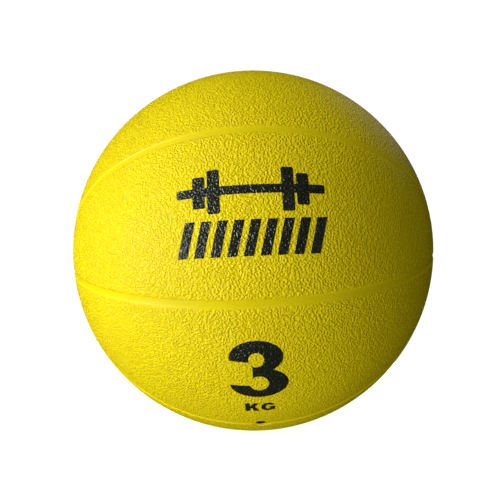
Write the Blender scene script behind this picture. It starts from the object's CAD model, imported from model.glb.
# %% [markdown]
# # A 3 kg rubber medicine ball
#
# The ball has a cover of eight pebbled rubber panels that run from pole to pole. Smooth, slightly
# sunken strips part them, and a needle valve sits in one strip. This lesson builds the cover, the
# strips, the valve and the printed marks as meshes, and gives the layers inside the ball their
# rubber and thread. The CAD model is loaded first: it fixes every size and place.

import math

import bmesh
import bpy
from mathutils import Matrix, Quaternion, Vector, noise
from mathutils.bvhtree import BVHTree


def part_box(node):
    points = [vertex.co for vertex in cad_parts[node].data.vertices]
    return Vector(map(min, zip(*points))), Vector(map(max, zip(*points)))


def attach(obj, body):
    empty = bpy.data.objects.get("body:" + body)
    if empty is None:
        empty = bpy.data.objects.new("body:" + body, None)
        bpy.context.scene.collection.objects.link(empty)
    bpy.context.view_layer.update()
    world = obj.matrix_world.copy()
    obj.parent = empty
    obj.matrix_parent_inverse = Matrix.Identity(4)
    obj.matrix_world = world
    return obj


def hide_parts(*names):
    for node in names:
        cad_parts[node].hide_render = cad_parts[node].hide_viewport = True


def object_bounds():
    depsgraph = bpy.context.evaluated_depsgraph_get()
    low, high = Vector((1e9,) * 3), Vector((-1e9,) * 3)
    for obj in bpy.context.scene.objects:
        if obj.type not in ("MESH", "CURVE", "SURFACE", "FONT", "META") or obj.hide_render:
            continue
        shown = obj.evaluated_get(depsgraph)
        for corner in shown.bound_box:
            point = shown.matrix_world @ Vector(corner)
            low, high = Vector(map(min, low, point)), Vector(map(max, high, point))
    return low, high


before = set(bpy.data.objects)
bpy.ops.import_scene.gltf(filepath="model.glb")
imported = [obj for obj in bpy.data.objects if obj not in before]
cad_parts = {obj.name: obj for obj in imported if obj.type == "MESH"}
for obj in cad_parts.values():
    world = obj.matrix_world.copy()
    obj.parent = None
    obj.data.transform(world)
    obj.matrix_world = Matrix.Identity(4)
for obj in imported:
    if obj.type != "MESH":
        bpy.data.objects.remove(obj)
cad_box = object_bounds()
print("the CAD model's box, in metres:", [[round(c, 5) for c in corner] for corner in cad_box])

# %% [markdown]
# The ball's sizes come from the frame where it holds them. The bottom panel touches the floor, so
# its lowest point gives the radius. The others are the small sizes of the cover: the channel
# between two panels, the roll of the rubber down into it, and the collar round the valve.

# %% Measure the ball
MM = 0.001
PANELS = 8
PITCH = math.tau / PANELS
VALVE_SEAM = 2

ball_r = -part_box("cover_panel_3")[0].z
button_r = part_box("pole_disc_right")[1].x
cover_t = 3.5 * MM
cover_in_r = ball_r - cover_t
channel_depth = 0.5 * MM
channel_foot = 1.3 * MM
roll_width = 1.25 * MM
strip_r = ball_r - channel_depth
pole_r = 9 * MM
collar_r = 4.6 * MM


def panel_angle(k):
    return -PITCH * (k - 1)


def seam_angle(k):
    return panel_angle(k) - PITCH / 2


def outward(angle):
    """The way out of the ball at an angle round the pole axis: 0 is the front."""
    return Vector((0, -math.cos(angle), math.sin(angle)))


def turn_to(angle):
    """Carries a piece drawn about +Z to its angle on the ball, with X kept along the pole axis."""
    return Matrix.Rotation(math.pi / 2 - angle, 4, "X")


valve_axis = outward(seam_angle(VALVE_SEAM))
print(f"radius {ball_r / MM:.2f} mm, pole buttons at {button_r / MM:.2f} mm")

# %% [markdown]
# ## How far a point is from the edge of its panel
#
# Three things bound a panel: the channels beside it, the button at each pole, and the collar of the
# valve. One distance serves them all. It shapes the rolled edges, and the mesh keeps it as an
# attribute, so that the pebble grain can fade where the rubber turns down into a channel.


# %% Measure the distance to an edge
def ease(t):
    """0 below 0, 1 above 1, and a smooth rise between them."""
    t = min(max(t, 0.0), 1.0)
    return t * t * (3 - 2 * t)


def edge_distance(direction):
    round_axis = math.hypot(direction.y, direction.z)
    turns = math.atan2(direction.z, -direction.y) / PITCH
    from_seam = abs((turns % 1.0) - 0.5) * PITCH
    beside_channel = ball_r * round_axis * math.sin(from_seam) - channel_foot
    beside_pole = ball_r * (math.asin(min(round_axis, 1.0)) - math.asin(pole_r / ball_r))
    nearest = min(beside_channel, beside_pole)
    if direction.dot(valve_axis) > 0:
        nearest = min(nearest, ball_r * direction.cross(valve_axis).length - collar_r)
    return nearest


# %% [markdown]
# ## The skin of the panels
#
# Rubber that was pressed in an etched mould isn't a true sphere. It has a fine swell under its grain,
# and broad, shallow dents where it shrank as it cooled. Both are real shape here. Two noises move
# each point in by up to 0.14 mm together, and never out, so the ball keeps its size. Both fade at
# the edge of a panel, where the rubber rolls down into the channel.

# %% Shape the skin
swell_size = 1.25 * MM
swell_depth = 0.08 * MM
dent_size = 15 * MM
dent_depth = 0.06 * MM
bare_foot = 0.35 * MM


def grain_share(distance):
    """How much of the grain is there: none on the foot of the roll, all of it further in."""
    return ease((distance - bare_foot) / roll_width)


def skin_radius(direction, distance):
    roll = channel_depth * (1 - ease(distance / roll_width))
    swell = swell_depth * (0.5 + 0.5 * noise.noise(direction * (ball_r / swell_size)))
    dent = dent_depth * (0.5 + 0.5 * noise.noise(direction * (ball_r / dent_size)))
    return ball_r - roll - (swell + dent) * grain_share(distance)


print(f"swell {swell_depth / MM:.2f} mm deep, dents {dent_depth / MM:.2f} mm deep")

# %% [markdown]
# ## Shader tools
#
# A small class keeps the node code short: it adds a node, sets it and links its inputs in one call.
# Every group and material below uses it.

# %% Write a helper for nodes
FLOAT, COLOR, VECTOR = "NodeSocketFloat", "NodeSocketColor", "NodeSocketVector"


class Nodes:
    def __init__(self, tree):
        self.tree = tree

    def feed(self, socket, value):
        """Links another node's output into a socket, or sets the socket to a plain value."""
        if isinstance(value, bpy.types.NodeSocket):
            self.tree.links.new(value, socket)
        else:
            socket.default_value = value

    def add(self, kind, inputs=None, **settings):
        node = self.tree.nodes.new(kind)
        for key, value in settings.items():
            setattr(node, key, value)
        for name, value in (inputs or {}).items():
            self.feed(node.inputs[name], value)
        return node

    def group(self, tree, **inputs):
        node = self.tree.nodes.new("ShaderNodeGroup")
        node.node_tree = tree
        for name, value in inputs.items():
            self.feed(node.inputs[name.replace("_", " ")], value)
        return node.outputs

    def math(self, operation, a, b=0.0):
        return self.add("ShaderNodeMath", {0: a, 1: b}, operation=operation).outputs[0]

    def scaled(self, vector, factor):
        node = self.add("ShaderNodeVectorMath", {0: vector}, operation="SCALE")
        self.feed(node.inputs["Scale"], factor)
        return node.outputs["Vector"]

    def noise(self, place, scale, detail=0.0, roughness=0.5):
        values = {"Vector": place, "Scale": scale, "Detail": detail, "Roughness": roughness}
        return self.add("ShaderNodeTexNoise", values).outputs

    def rise(self, value, low, high, to_low=0.0, to_high=1.0):
        """A smooth step of a value between two limits."""
        limits = {"Value": value, "From Min": low, "From Max": high, "To Min": to_low, "To Max": to_high}
        node = self.add("ShaderNodeMapRange", limits, interpolation_type="SMOOTHSTEP")
        return node.outputs["Result"]

    def mix(self, share, a, b):
        node = self.add("ShaderNodeMix", data_type="RGBA")
        for index, value in ((0, share), (6, a), (7, b)):
            self.feed(node.inputs[index], value)
        return node.outputs[2]

    def place(self):
        return self.tree.nodes.new("ShaderNodeTexCoord").outputs["Object"]


def new_group(name, ins, outs):
    """A shader node group with named inputs and outputs, each given as its name and socket type."""
    tree = bpy.data.node_groups.new(name, "ShaderNodeTree")
    for label, kind in ins.items():
        tree.interface.new_socket(label, in_out="INPUT", socket_type=kind)
    for label, kind in outs.items():
        tree.interface.new_socket(label, in_out="OUTPUT", socket_type=kind)
    return tree, Nodes(tree), tree.nodes.new("NodeGroupInput"), tree.nodes.new("NodeGroupOutput")


# %% [markdown]
# ## The pebble grain
#
# The grain of a grip ball is a maze of short, rounded ridges about 0.7 mm wide, with narrow valleys
# between them. A noise of one size, cut softly at its middle value, gives just such a maze, and a
# second noise bends it so that no row shows. The rubber and the ink on it both use this group with
# the same coordinates, so the ridges run on unbroken under the print.


# %% Build the grain group
grain_scale = 980
bend_scale = 800
bend_reach = 0.5 * MM


def build_grain():
    tree, n, inp, out = new_group(
        "pebble grain",
        {"Place": VECTOR, "Share": FLOAT},
        {"Height": FLOAT, "Crest": FLOAT, "Valley": FLOAT},
    )
    place = inp.outputs["Place"]
    lean = {0: n.noise(place, bend_scale)["Color"], 1: (0.5, 0.5, 0.5)}
    bend = n.add("ShaderNodeVectorMath", lean, operation="SUBTRACT")
    shift = n.scaled(bend.outputs[0], bend_reach)
    bent = n.add("ShaderNodeVectorMath", {0: place, 1: shift}).outputs[0]
    maze = n.noise(bent, grain_scale)["Fac"]
    height = n.rise(maze, 0.26, 0.72)
    share = inp.outputs["Share"]
    n.feed(out.inputs["Height"], n.math("MULTIPLY", height, share))
    n.feed(out.inputs["Crest"], n.math("MULTIPLY", n.rise(maze, 0.5, 0.66), share))
    n.feed(out.inputs["Valley"], n.math("MULTIPLY", n.rise(maze, 0.5, 0.34), share))
    return tree


pebble_grain = build_grain()
print("grain group:", [s.name for s in pebble_grain.interface.items_tree])

# %% [markdown]
# ## Dust and hand wear
#
# Two faint effects keep the rubber from looking like fresh paint: broad patches where the colour
# took a little differently in the mould, and a fine bloom, the pale film that rubber sweats out.
# They go through one group that every rubber uses with its own strengths.


# %% Build the bloom group
def build_bloom():
    tree, n, inp, out = new_group(
        "rubber bloom",
        {"Place": VECTOR, "Color": COLOR, "Patches": FLOAT, "Bloom": FLOAT},
        {"Color": COLOR, "Film": FLOAT, "Fine": FLOAT},
    )
    place = inp.outputs["Place"]
    patch = n.rise(n.noise(place, 24, 3, 0.55)["Fac"], 0.3, 0.7)
    darker = n.math("SUBTRACT", 1.0, n.math("MULTIPLY", patch, inp.outputs["Patches"]))
    shaded = n.add("ShaderNodeVectorMath", {0: inp.outputs["Color"]}, operation="SCALE")
    n.feed(shaded.inputs["Scale"], darker)
    film = n.rise(n.noise(place, 85, 4, 0.6)["Fac"], 0.5, 0.75)
    film = n.math("MULTIPLY", film, inp.outputs["Bloom"])
    n.feed(out.inputs["Color"], n.mix(film, shaded.outputs[0], (0.72, 0.7, 0.58, 1)))
    n.feed(out.inputs["Film"], film)
    n.feed(out.inputs["Fine"], n.noise(place, 4200, 2)["Fac"])
    return tree


rubber_bloom = build_bloom()

# %% [markdown]
# ## Yellow cover rubber
#
# The panels are a deep lemon rubber with a dull shine. The valleys of the grain are a little darker
# and redder, because light bounces about in them and dust stays there, and the crests are rubbed
# smoother. The depth of the bump is given in metres, so the grain looks as deep from any distance.

# %% Make the cover rubber
YELLOW = (0.83, 0.665, 0.003, 1)
VALLEY_YELLOW = (0.6, 0.43, 0.002, 1)
grain_depth = 0.38 * MM


def new_finish(name, color, roughness):
    finish = bpy.data.materials.new(name)
    finish.use_nodes = True
    finish.diffuse_color = color
    shader = finish.node_tree.nodes["Principled BSDF"]
    shader.inputs["Base Color"].default_value = color
    shader.inputs["Roughness"].default_value = roughness
    return finish, Nodes(finish.node_tree), shader


def bump(n, shader, height, depth):
    node = n.add("ShaderNodeBump", {"Height": height, "Distance": depth, "Strength": 1.0})
    n.feed(shader.inputs["Normal"], node.outputs["Normal"])


def make_cover_rubber():
    finish, n, shader = new_finish("cover rubber", YELLOW, 0.5)
    shader.inputs["Specular IOR Level"].default_value = 0.105
    place = n.place()
    share = n.add("ShaderNodeAttribute", attribute_name="grain_share").outputs["Fac"]
    grain = n.group(pebble_grain, Place=place, Share=share)
    toned = n.mix(n.math("MULTIPLY", grain["Valley"], 0.15), YELLOW, VALLEY_YELLOW)
    bloom = n.group(rubber_bloom, Place=place, Color=toned, Patches=0.06, Bloom=0.008)
    n.feed(shader.inputs["Base Color"], bloom["Color"])
    dull = n.math("SUBTRACT", 0.26, n.math("MULTIPLY", grain["Crest"], 0.06))
    dull = n.math("ADD", dull, n.math("MULTIPLY", bloom["Fine"], 0.06))
    n.feed(shader.inputs["Roughness"], dull)
    fine = n.math("MULTIPLY", bloom["Fine"], 0.012)
    bump(n, shader, n.math("ADD", grain["Height"], fine), grain_depth)
    return finish


cover_rubber = make_cover_rubber()

# %% [markdown]
# ## Smooth seam rubber
#
# The strips and buttons are the same rubber from a polished part of the mould. They are glossier
# and have no grain, only the slow waviness and faint specks that a smooth moulding always has.


# %% Make the seam rubber
SEAM_YELLOW = (0.76, 0.63, 0.0026, 1)


def make_seam_rubber():
    finish, n, shader = new_finish("seam rubber", SEAM_YELLOW, 0.34)
    shader.inputs["Specular IOR Level"].default_value = 0.12
    place = n.place()
    bloom = n.group(rubber_bloom, Place=place, Color=SEAM_YELLOW, Patches=0.05, Bloom=0.012)
    n.feed(shader.inputs["Base Color"], bloom["Color"])
    dull = n.math("ADD", 0.22, n.math("MULTIPLY", bloom["Fine"], 0.1))
    n.feed(shader.inputs["Roughness"], dull)
    wave = n.noise(place, 260, 1)["Fac"]
    specks = n.math("MULTIPLY", bloom["Fine"], 0.12)
    bump(n, shader, n.math("ADD", wave, specks), 0.05 * MM)
    return finish


seam_rubber = make_seam_rubber()

# %% [markdown]
# ## Printed ink
#
# The marks are a black rubber ink, put on through a screen. The film is so thin that the grain shows
# through it at its full depth, and it shines more than the rubber does. In the deepest valleys the
# ink is thinnest, and a dull olive shows there.

# %% Make the ink
INK = (0.0165, 0.0205, 0.014, 1)
THIN_INK = (0.045, 0.043, 0.015, 1)


def make_ink():
    finish, n, shader = new_finish("printed ink", INK, 0.25)
    shader.inputs["Specular IOR Level"].default_value = 0.7
    place = n.place()
    grain = n.group(pebble_grain, Place=place, Share=1.0)
    thin = n.rise(grain["Valley"], 0.55, 1.0, 0.0, 0.6)
    toned = n.mix(thin, INK, THIN_INK)
    bloom = n.group(rubber_bloom, Place=place, Color=toned, Patches=0.2, Bloom=0.015)
    n.feed(shader.inputs["Base Color"], bloom["Color"])
    dull = n.math("SUBTRACT", 0.2, n.math("MULTIPLY", grain["Crest"], 0.06))
    n.feed(shader.inputs["Roughness"], n.math("ADD", dull, n.math("MULTIPLY", bloom["Fine"], 0.04)))
    bump(n, shader, grain["Height"], grain_depth)
    return finish


printed_ink = make_ink()

# %% [markdown]
# ## Black rubbers
#
# The valve plug, the heavy wall and the bladder are all black, but not alike. The plug is soft and
# satin. The heavy wall is filled with iron powder, so it is grey, dull and full of tiny specks. The
# bladder is butyl with a powdery film from the mould. One function makes all three.


# %% Make the black rubbers
def make_black_rubber(name, color, roughness, patches, film, speck, depth):
    finish, n, shader = new_finish(name, color, roughness)
    place = n.place()
    bloom = n.group(rubber_bloom, Place=place, Color=color, Patches=patches, Bloom=film)
    grit = n.rise(n.noise(place, 1500, 1)["Fac"], 0.62, 0.72, 0.0, speck)
    n.feed(shader.inputs["Base Color"], n.mix(grit, bloom["Color"], (0.3, 0.29, 0.28, 1)))
    dull = n.rise(bloom["Fine"], 0.3, 0.7, roughness - 0.08, roughness + 0.08)
    n.feed(shader.inputs["Roughness"], dull)
    wave = n.noise(place, 500, 2)["Fac"]
    bump(n, shader, n.math("ADD", wave, n.math("MULTIPLY", bloom["Fine"], 0.4)), depth)
    return finish


valve_rubber = make_black_rubber(
    "valve rubber", (0.012, 0.012, 0.013, 1), 0.45, patches=0.2, film=0.02, speck=0.0, depth=0.03 * MM
)
heavy_rubber = make_black_rubber(
    "heavy rubber", (0.05, 0.05, 0.054, 1), 0.75, patches=0.3, film=0.12, speck=0.5, depth=0.12 * MM
)
butyl_rubber = make_black_rubber(
    "butyl rubber", (0.028, 0.028, 0.03, 1), 0.55, patches=0.2, film=0.2, speck=0.0, depth=0.08 * MM
)

# %% [markdown]
# ## Nylon winding
#
# Kilometres of thread are wound round the bladder in great circles, each layer across the last. Wave
# bands in three directions stand for the top layers, and two noises choose which one is on top.


# %% Make the thread
thread_pitch = 0.8 * MM
thread_turns = ((0, 0, 0), (0.4, 0.3, 1.1), (1.2, 0.2, 2.2))


def thread_band(n, place, turn, pitch):
    turned = n.add("ShaderNodeMapping", {"Vector": place, "Rotation": turn}).outputs[0]
    values = {"Vector": turned, "Scale": 0.314 / pitch, "Distortion": 0.6, "Detail": 1.0}
    return n.add("ShaderNodeTexWave", values, wave_type="BANDS", bands_direction="X").outputs["Fac"]


def make_nylon():
    finish, n, shader = new_finish("nylon thread", (0.7, 0.67, 0.58, 1), 0.45)
    place = n.place()
    bands = [thread_band(n, place, turn, thread_pitch) for turn in thread_turns]
    first = n.rise(n.noise(place, 60, 1)["Fac"], 0.46, 0.5)
    second = n.rise(n.noise(place, 45, 1)["Fac"], 0.5, 0.54)
    lower = n.mix(first, bands[0], bands[1])
    top = n.mix(second, lower, bands[2])
    n.feed(shader.inputs["Base Color"], n.mix(top, (0.3, 0.27, 0.21, 1), (0.8, 0.77, 0.68, 1)))
    n.feed(shader.inputs["Roughness"], n.rise(top, 0.0, 1.0, 0.65, 0.4))
    bump(n, shader, top, 0.2 * MM)
    return finish


nylon_thread = make_nylon()
print("finishes:", sorted(m.name for m in bpy.data.materials if m.users))

# %% [markdown]
# ## Finished pieces
#
# Each mesh becomes an object in the same way. It rides on the ball's one body, stands for its CAD
# node, and names the material slot it belongs to. Its faces are smooth except across a true corner.


# %% Make a piece from a bmesh
def finish_piece(bm, name, finish, node, corner=50):
    mesh = bpy.data.meshes.new(name)
    bm.to_mesh(mesh)
    bm.free()
    mesh.materials.append(finish)
    mesh.shade_smooth()
    mesh.set_sharp_from_angle(angle=math.radians(corner))
    piece = bpy.data.objects.new(name, mesh)
    bpy.context.collection.objects.link(piece)
    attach(piece, "root")
    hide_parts(node)
    triangles = sum(len(face.vertices) - 2 for face in mesh.polygons)
    print(f"{name}: {triangles} triangles")
    return piece


# %% [markdown]
# ## Cover panels
#
# A panel is a gore, like a slice of orange peel. It starts as a flat grid. Each row is bent along
# the ball and each column is drawn in towards the poles, with narrow steps near the edges, where
# the rubber rolls down. In the seam with the valve the edge steps back round the collar. The rim is
# then extruded in to the underside and bridged to a coarse grid, which closes the piece without
# spending triangles where no one looks.

# %% Lay out the grid of a panel
step = 0.62 * MM
roll_steps = 6
half_length = ball_r * math.acos(pole_r / ball_r)
half_across = ball_r * PITCH / 2
columns = 2 * (roll_steps + round(half_across / step))
rows = 2 * (roll_steps + round(half_length / step))
under_lines = (12, 60)
under_inset = 1.5 * MM


def line_place(t, half, lines, fine=roll_steps, band=roll_width):
    """Where a grid line goes: even steps in the middle, and fine ones in a band at each end."""
    line = abs(t) * lines / 2
    inner = lines / 2 - fine
    band = min(band, half / 2)
    if line <= inner:
        place = (half - band) * line / inner
    else:
        place = half - band + band * (line - inner) / fine
    return math.copysign(place, t)


def edge_gap(latitude, beside_valve):
    """Distance from the middle of the seam to the panel's edge, round the collar or beside it."""
    along = ball_r * math.sin(latitude)
    if beside_valve and abs(along) < collar_r:
        return max(channel_foot, math.sqrt(collar_r**2 - along**2))
    return channel_foot


# %% [markdown]
# The same mapping serves the outside and the underside. Only the number of lines and a small inset
# differ. It gives directions from the ball's centre, and each side then takes its own radius.


# %% Bend a grid into a gore
def bend_gore(bm, across, along, valve_side, inset):
    verts = bmesh.ops.create_grid(bm, x_segments=across, y_segments=along, size=1)["verts"]
    fine = roll_steps if inset == 0 else 1
    for vert in verts:
        latitude = line_place(vert.co.y, half_length - inset, along, fine) / ball_r
        round_axis = ball_r * math.cos(latitude)
        gap = edge_gap(latitude, vert.co.x * valve_side > 0) + inset
        half = round_axis * (PITCH / 2 - math.asin(gap / round_axis))
        angle = line_place(vert.co.x, half, across, fine) / round_axis
        out = math.cos(latitude)
        vert.co = (math.sin(latitude), out * math.sin(angle), out * math.cos(angle))
    return verts


def cover_panel(k):
    name = f"cover_panel_{k}"
    valve_side = {VALVE_SEAM: -1, VALVE_SEAM + 1: 1}.get(k, 0)
    bm = bmesh.new()
    share = bm.verts.layers.float.new("grain_share")
    turn = turn_to(panel_angle(k)).to_3x3()
    for vert in bend_gore(bm, columns, rows, valve_side, 0.0):
        direction = turn @ vert.co
        distance = edge_distance(direction)
        vert[share] = grain_share(distance)
        vert.co = direction * skin_radius(direction, distance)
    rim = [edge for edge in bm.edges if edge.is_boundary]
    wall = bmesh.ops.extrude_edge_only(bm, edges=rim)["geom"]
    for vert in wall:
        if isinstance(vert, bmesh.types.BMVert):
            vert.co = vert.co.normalized() * cover_in_r
    wall_rim = [e for e in wall if isinstance(e, bmesh.types.BMEdge) and e.is_boundary]
    under = set(bend_gore(bm, *under_lines, valve_side, under_inset))
    for vert in under:
        vert.co = turn @ vert.co * cover_in_r
    under_rim = [e for e in bm.edges if e.is_boundary and e.verts[0] in under]
    bmesh.ops.bridge_loops(bm, edges=wall_rim + under_rim)
    bmesh.ops.recalc_face_normals(bm, faces=bm.faces)
    return finish_piece(bm, f"panel_{k}", cover_rubber, name)


panels = [cover_panel(k) for k in range(1, PANELS + 1)]

# %% [markdown]
# ## Seam strips
#
# A strip is a flat ribbon bent round the ball, slightly dished, with its two sides tucked against
# the feet of the panels. A narrow grid makes the face, and extruding the whole face inwards gives it
# its thickness. At the valve the strip ends on the collar, so that seam has two half strips.

# %% Bend the strips
strip_half = channel_foot + 0.08 * MM
dish = 0.07 * MM
strip_across = 8
strip_step = 0.8 * MM


def strip_end(across, from_axis):
    """Latitude at which a strip meets the round button at a pole."""
    return math.acos(math.sqrt(from_axis**2 - across**2) / strip_r)


def seam_strip(k, node, side=0):
    bm = bmesh.new()
    along = round(half_length / strip_step) * (1 if side else 2)
    verts = bmesh.ops.create_grid(bm, x_segments=strip_across, y_segments=along, size=1)["verts"]
    for vert in verts:
        across = vert.co.x * strip_half
        end = strip_end(across, pole_r)
        latitude = end * vert.co.y
        if side:
            start = math.asin(math.sqrt(collar_r**2 - across**2) / strip_r)
            latitude = side * (start + (end - start) * (vert.co.y + 1) / 2)
        radius = strip_r - dish * (1 - vert.co.x**2)
        vert.co = (radius * math.sin(latitude), across, radius * math.cos(latitude))
    face = bm.faces[:]
    made = bmesh.ops.extrude_face_region(bm, geom=face)["geom"]
    for vert in made:
        if isinstance(vert, bmesh.types.BMVert):
            vert.co *= cover_in_r / strip_r
    bmesh.ops.recalc_face_normals(bm, faces=bm.faces)
    bmesh.ops.transform(bm, matrix=turn_to(seam_angle(k)), verts=bm.verts)
    return finish_piece(bm, node.replace("seam_", ""), seam_rubber, node)


strips = [seam_strip(k, f"seam_strip_{k}") for k in range(1, PANELS + 1) if k != VALVE_SEAM]
strips.append(seam_strip(VALVE_SEAM, "seam_strip_2_left", side=-1))
strips.append(seam_strip(VALVE_SEAM, "seam_strip_2_right", side=1))

# %% [markdown]
# ## Turned pieces
#
# The pole buttons, the collar and the plug of the valve are all round, as if turned on a lathe. Each
# is a profile of a few points, spun a full turn. The profile's corners are rounded first by a small
# bevel on its points, so the spun edges catch the light as moulded rubber does.


# %% Spin a profile
def lathe(profile, rounding, matrix, steps=96):
    """Spins points of (distance from the axis, height) about Z. The rounding bevels each inner point."""
    bm = bmesh.new()
    verts = [bm.verts.new((radius, 0, height)) for radius, height in profile]
    edges = [bm.edges.new(pair) for pair in zip(verts, verts[1:])]
    if profile[0][0] > 0:
        edges.append(bm.edges.new((verts[-1], verts[0])))
    corners = [v for v in verts if len(v.link_edges) == 2]
    bmesh.ops.bevel(
        bm, geom=corners, offset=rounding, offset_type="OFFSET", affect="VERTICES",
        segments=4, profile=0.5, material=-1, clamp_overlap=True,
    )
    bmesh.ops.spin(
        bm, geom=bm.verts[:] + bm.edges[:], cent=(0, 0, 0), axis=(0, 0, 1),
        angle=math.tau, steps=steps, use_merge=True,
    )
    bmesh.ops.remove_doubles(bm, verts=bm.verts, dist=0.001 * MM)
    bmesh.ops.recalc_face_normals(bm, faces=bm.faces)
    bmesh.ops.transform(bm, matrix=matrix, verts=bm.verts)
    return bm


def on_sphere(radius, from_axis):
    return math.sqrt(radius**2 - from_axis**2)


# %% [markdown]
# The button closes each pole, where the eight channels meet. It is a shallow dome with a rim that
# drops to the floor of the channels, and a small ring that the mould's pin left round its middle.


# %% Make the pole buttons
def pole_button(side, node):
    rim = pole_r - 0.7 * MM
    ring = 2.2 * MM
    groove = 0.15 * MM
    profile = [
        (0, button_r),
        (ring - 0.5 * MM, on_sphere(button_r, ring)),
        (ring, on_sphere(button_r, ring) - groove),
        (ring + 0.5 * MM, on_sphere(button_r, ring + 0.5 * MM)),
        (0.5 * rim, on_sphere(button_r, 0.5 * rim)),
        (0.8 * rim, on_sphere(button_r, 0.8 * rim)),
        (rim, on_sphere(button_r, rim)),
        (rim + 0.5 * MM, on_sphere(strip_r, rim)),
        (pole_r, on_sphere(strip_r, pole_r)),
        (pole_r, on_sphere(cover_in_r, pole_r)),
        (0, cover_in_r),
    ]
    bm = lathe(profile, 0.2 * MM, Matrix.Rotation(side * math.pi / 2, 4, "Y"))
    return finish_piece(bm, f"pole_button_{node.split('_')[-1]}", seam_rubber, node)


buttons = [pole_button(-1, "pole_disc_left"), pole_button(1, "pole_disc_right")]

# %% [markdown]
# The collar is the ring of cover rubber that grips the plug. Its face swells a little round the plug,
# which pushed it out, and its outer edge is level with the channel. The plug is one turned piece: a
# stem with a funnel that leads the needle into its hole, and a bulb that keeps it from coming out.
# The plug's rim stands slightly proud of its seat, so the black ring shows from the side too.

# %% Make the valve
valve_turn = turn_to(seam_angle(VALVE_SEAM))
core_r = 2.6 * MM
core_top = strip_r - 0.3 * MM
core_len = 18 * MM
needle_r = 1.08 * MM
needle_depth = 14 * MM
lead_in = 0.8 * MM
plug_lip = 0.2 * MM
bulb_r = core_r + 0.8 * MM
bulb_h = 4 * MM


def valve_collar():
    bore = core_r + 0.05 * MM
    profile = [
        (bore, cover_in_r),
        (bore, strip_r - 0.02 * MM),
        (bore + 0.35 * MM, strip_r + 0.06 * MM),
        (bore + 0.95 * MM, strip_r + 0.04 * MM),
        (bore + 1.4 * MM, strip_r - 0.06 * MM),
        (collar_r, on_sphere(strip_r, collar_r)),
        (collar_r, on_sphere(cover_in_r, collar_r)),
    ]
    bm = lathe(profile, 0.15 * MM, valve_turn)
    return finish_piece(bm, "valve_collar_ring", seam_rubber, "valve_collar")


def valve_core():
    bottom = core_top - core_len
    profile = [
        (0, core_top - needle_depth),
        (needle_r, core_top - needle_depth),
        (needle_r, core_top - lead_in),
        (needle_r + lead_in, core_top + plug_lip),
        (core_r, core_top + plug_lip),
        (core_r, bottom + bulb_h),
        (bulb_r, bottom + bulb_h),
        (bulb_r, bottom),
        (0, bottom),
    ]
    bm = lathe(profile, 0.25 * MM, valve_turn)
    return finish_piece(bm, "valve_plug", valve_rubber, "valve_core")


valve_pieces = [valve_collar(), valve_core()]

# %% [markdown]
# ## Prints
#
# The marks are films of ink that lie on the skin. Each starts as a merged copy of its CAD solid,
# which has the right outline but only a few long triangles. Cutting it with two sets of planes makes
# small faces. Every point then moves to the skin at its own place, plus its height in the film.

# %% Lay the ink on the skin
ink_low = 0.01 * MM
ink_high = 0.075 * MM
cut_pitch = 0.6 * MM
prints = {
    "dumbbell_print": "mark_dumbbell",
    "bar_print": "mark_bars",
    "weight_numeral": "mark_numeral",
    "weight_unit": "mark_unit",
}


def cut_in_slices(bm, normal):
    reach = [vert.co.dot(normal) for vert in bm.verts]
    low, high = min(reach), max(reach)
    for i in range(1, math.ceil((high - low) / cut_pitch)):
        bmesh.ops.bisect_plane(
            bm, geom=bm.verts[:] + bm.edges[:] + bm.faces[:], dist=1e-7,
            plane_co=normal * (low + i * cut_pitch), plane_no=normal,
        )


def skin_under(direction, trees):
    """The radius of the panels' own mesh in a direction, found by a ray cast in from outside."""
    hits = (tree.ray_cast(direction * (ball_r + MM), -direction, 2 * MM)[0] for tree in trees)
    return max(hit.length for hit in hits if hit)


def ink_mark(node, name):
    bm = bmesh.new()
    bm.from_mesh(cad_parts[node].data)
    bmesh.ops.remove_doubles(bm, verts=bm.verts, dist=0.001 * MM)
    film = bm.verts.layers.float.new("film")
    radii = [vert.co.length for vert in bm.verts]
    middle = (min(radii) + max(radii)) / 2
    centre = Vector()
    for vert in bm.verts:
        vert[film] = float(vert.co.length > middle)
        centre += vert.co
    upward = Vector((1, 0, 0)).cross(centre.normalized())
    cut_in_slices(bm, Vector((1, 0, 0)))
    cut_in_slices(bm, upward.normalized())
    for vert in bm.verts:
        direction = vert.co.normalized()
        rise = ink_low + (ink_high - ink_low) * vert[film]
        vert.co = direction * (skin_under(direction, front_skins) + rise)
    return finish_piece(bm, name, printed_ink, node, corner=60)


depsgraph = bpy.context.evaluated_depsgraph_get()
front_skins = [BVHTree.FromObject(panel, depsgraph) for panel in panels[:2]]
marks = [ink_mark(node, name) for node, name in prints.items()]

# %% [markdown]
# ## The layers inside
#
# The heavy wall, the winding, the bladder and the valve body keep their CAD shapes, which are right
# as they are. They only need their true materials, put into the slots of the CAD objects.

# %% Finish the inner layers
inner_finishes = {
    "weight_shell_valve_half": heavy_rubber,
    "weight_shell_plain_half": heavy_rubber,
    "nylon_winding": nylon_thread,
    "air_bladder": butyl_rubber,
    "bladder_valve_patch": butyl_rubber,
    "valve_body": butyl_rubber,
}
for node, finish in inner_finishes.items():
    for material_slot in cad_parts[node].material_slots:
        material_slot.material = finish
print("inner layers finished:", len(inner_finishes))

# %% [markdown]
# ## Floor
#
# The ball rests on a plain pale floor. A little light of its own, seen only by the camera, keeps the
# floor as pale as the wall behind it, so the ball stands out and its soft shadow still shows.


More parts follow.
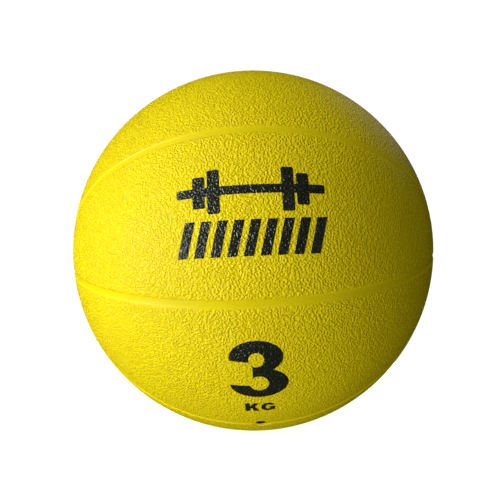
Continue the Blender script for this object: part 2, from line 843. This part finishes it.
# %% Lay the floor
def pale_floor():
    finish, n, shader = new_finish("pale floor", (0.5, 0.5, 0.5, 1), 0.7)
    shader.inputs["Specular IOR Level"].default_value = 0.1
    shader.inputs["Emission Color"].default_value = (1, 1, 1, 1)
    seen = n.add("ShaderNodeLightPath").outputs["Is Camera Ray"]
    n.feed(shader.inputs["Emission Strength"], n.math("MULTIPLY", seen, 0.95))
    bm = bmesh.new()
    bmesh.ops.create_grid(bm, x_segments=4, y_segments=4, size=6)
    bmesh.ops.translate(bm, verts=bm.verts, vec=(0, 0, cad_box[0].z))
    mesh = bpy.data.meshes.new("floor")
    bm.to_mesh(mesh)
    bm.free()
    mesh.materials.append(finish)
    floor = bpy.data.objects.new("floor", mesh)
    bpy.context.collection.objects.link(floor)
    floor.visible_diffuse = floor.visible_glossy = floor.visible_shadow = False


pale_floor()

# %% [markdown]
# ## Light
#
# The ball is lit from its left, and the brightness falls evenly across it. The room gives the even
# part, brighter on the left than on the right. A tall softbox on the left, the wash, adds the slope
# of light, and a smaller one there, the key, gives only the glints on the ink and the rolled edges. A
# weak one at the upper right lays a sheen on the far side, and one behind lights the back. The room
# is hidden from gloss, because a bright room mirrored in the rubber would bleach its deep yellow.

# %% Light the room
room_middle = 0.228
room_lean = (-0.24, -0.19, 0.01)
room_dim = 0.03


def light_room():
    world = bpy.data.worlds.new("studio")
    bpy.context.scene.world = world
    world.use_nodes = True
    n = Nodes(world.node_tree)
    background = world.node_tree.nodes["Background"]
    direction = n.add("ShaderNodeTexCoord").outputs["Generated"]
    lean = n.add("ShaderNodeVectorMath", {0: direction, 1: room_lean}, operation="DOT_PRODUCT")
    light = n.math("MAXIMUM", n.math("ADD", room_middle, lean.outputs["Value"]), room_dim)
    seen = n.add("ShaderNodeLightPath").outputs["Is Camera Ray"]
    n.feed(background.inputs["Color"], n.mix(seen, light, (1.05, 1.05, 1.05, 1)))
    background.inputs["Strength"].default_value = 1.0
    world.cycles_visibility.glossy = False


def softbox(name, direction, distance, size, power, gloss=True, wash=True):
    """A softbox aimed at the ball, with its size across and up. It can leave out gloss or wash."""
    data = bpy.data.lights.new(name, "AREA")
    data.shape = "RECTANGLE"
    data.size, data.size_y = size
    data.energy = power
    lamp = bpy.data.objects.new(name, data)
    bpy.context.collection.objects.link(lamp)
    aim = Vector(direction).normalized()
    lamp.location = aim * distance
    lamp.rotation_mode = "QUATERNION"
    lamp.rotation_quaternion = aim.to_track_quat("Z", "Y")
    lamp.visible_glossy, lamp.visible_diffuse = gloss, wash


light_room()
softbox("key", (-0.87, -0.49, -0.03), 1.1, (0.65, 0.65), 11, wash=False)
softbox("wash", (-0.84, -0.55, 0.02), 1.1, (0.7, 5.0), 40.5, gloss=False)
softbox("sheen", (0.5, 0.6, 0.62), 1.2, (0.5, 0.5), 0.28, wash=False)
softbox("back", (0.2, 0.97, 0.1), 1.2, (0.9, 0.9), 14, gloss=False)

# %% [markdown]
# ## Camera
#
# The camera stands a little below the middle of the ball and looks slightly up, close enough that
# the ball hides its own poles. It is rolled by a few degrees, as a hand-held ball would lean.

# %% Place the camera
camera_distance = 3.4 * ball_r
camera_rise = math.radians(-9.6)
camera_roll = math.radians(-2.6)


def place_camera():
    data = bpy.data.cameras.new("camera")
    data.lens = 42.18
    data.sensor_width = 36
    data.shift_x = -0.0065
    data.shift_y = 0.0011
    camera = bpy.data.objects.new("camera", data)
    bpy.context.collection.objects.link(camera)
    back = Vector((0, -math.cos(camera_rise), math.sin(camera_rise)))
    camera.location = back * camera_distance
    camera.rotation_mode = "QUATERNION"
    roll = Quaternion((0, 0, 1), camera_roll)
    camera.rotation_quaternion = back.to_track_quat("Z", "Y") @ roll
    bpy.context.scene.camera = camera


place_camera()
bpy.context.scene.view_settings.view_transform = "Standard"
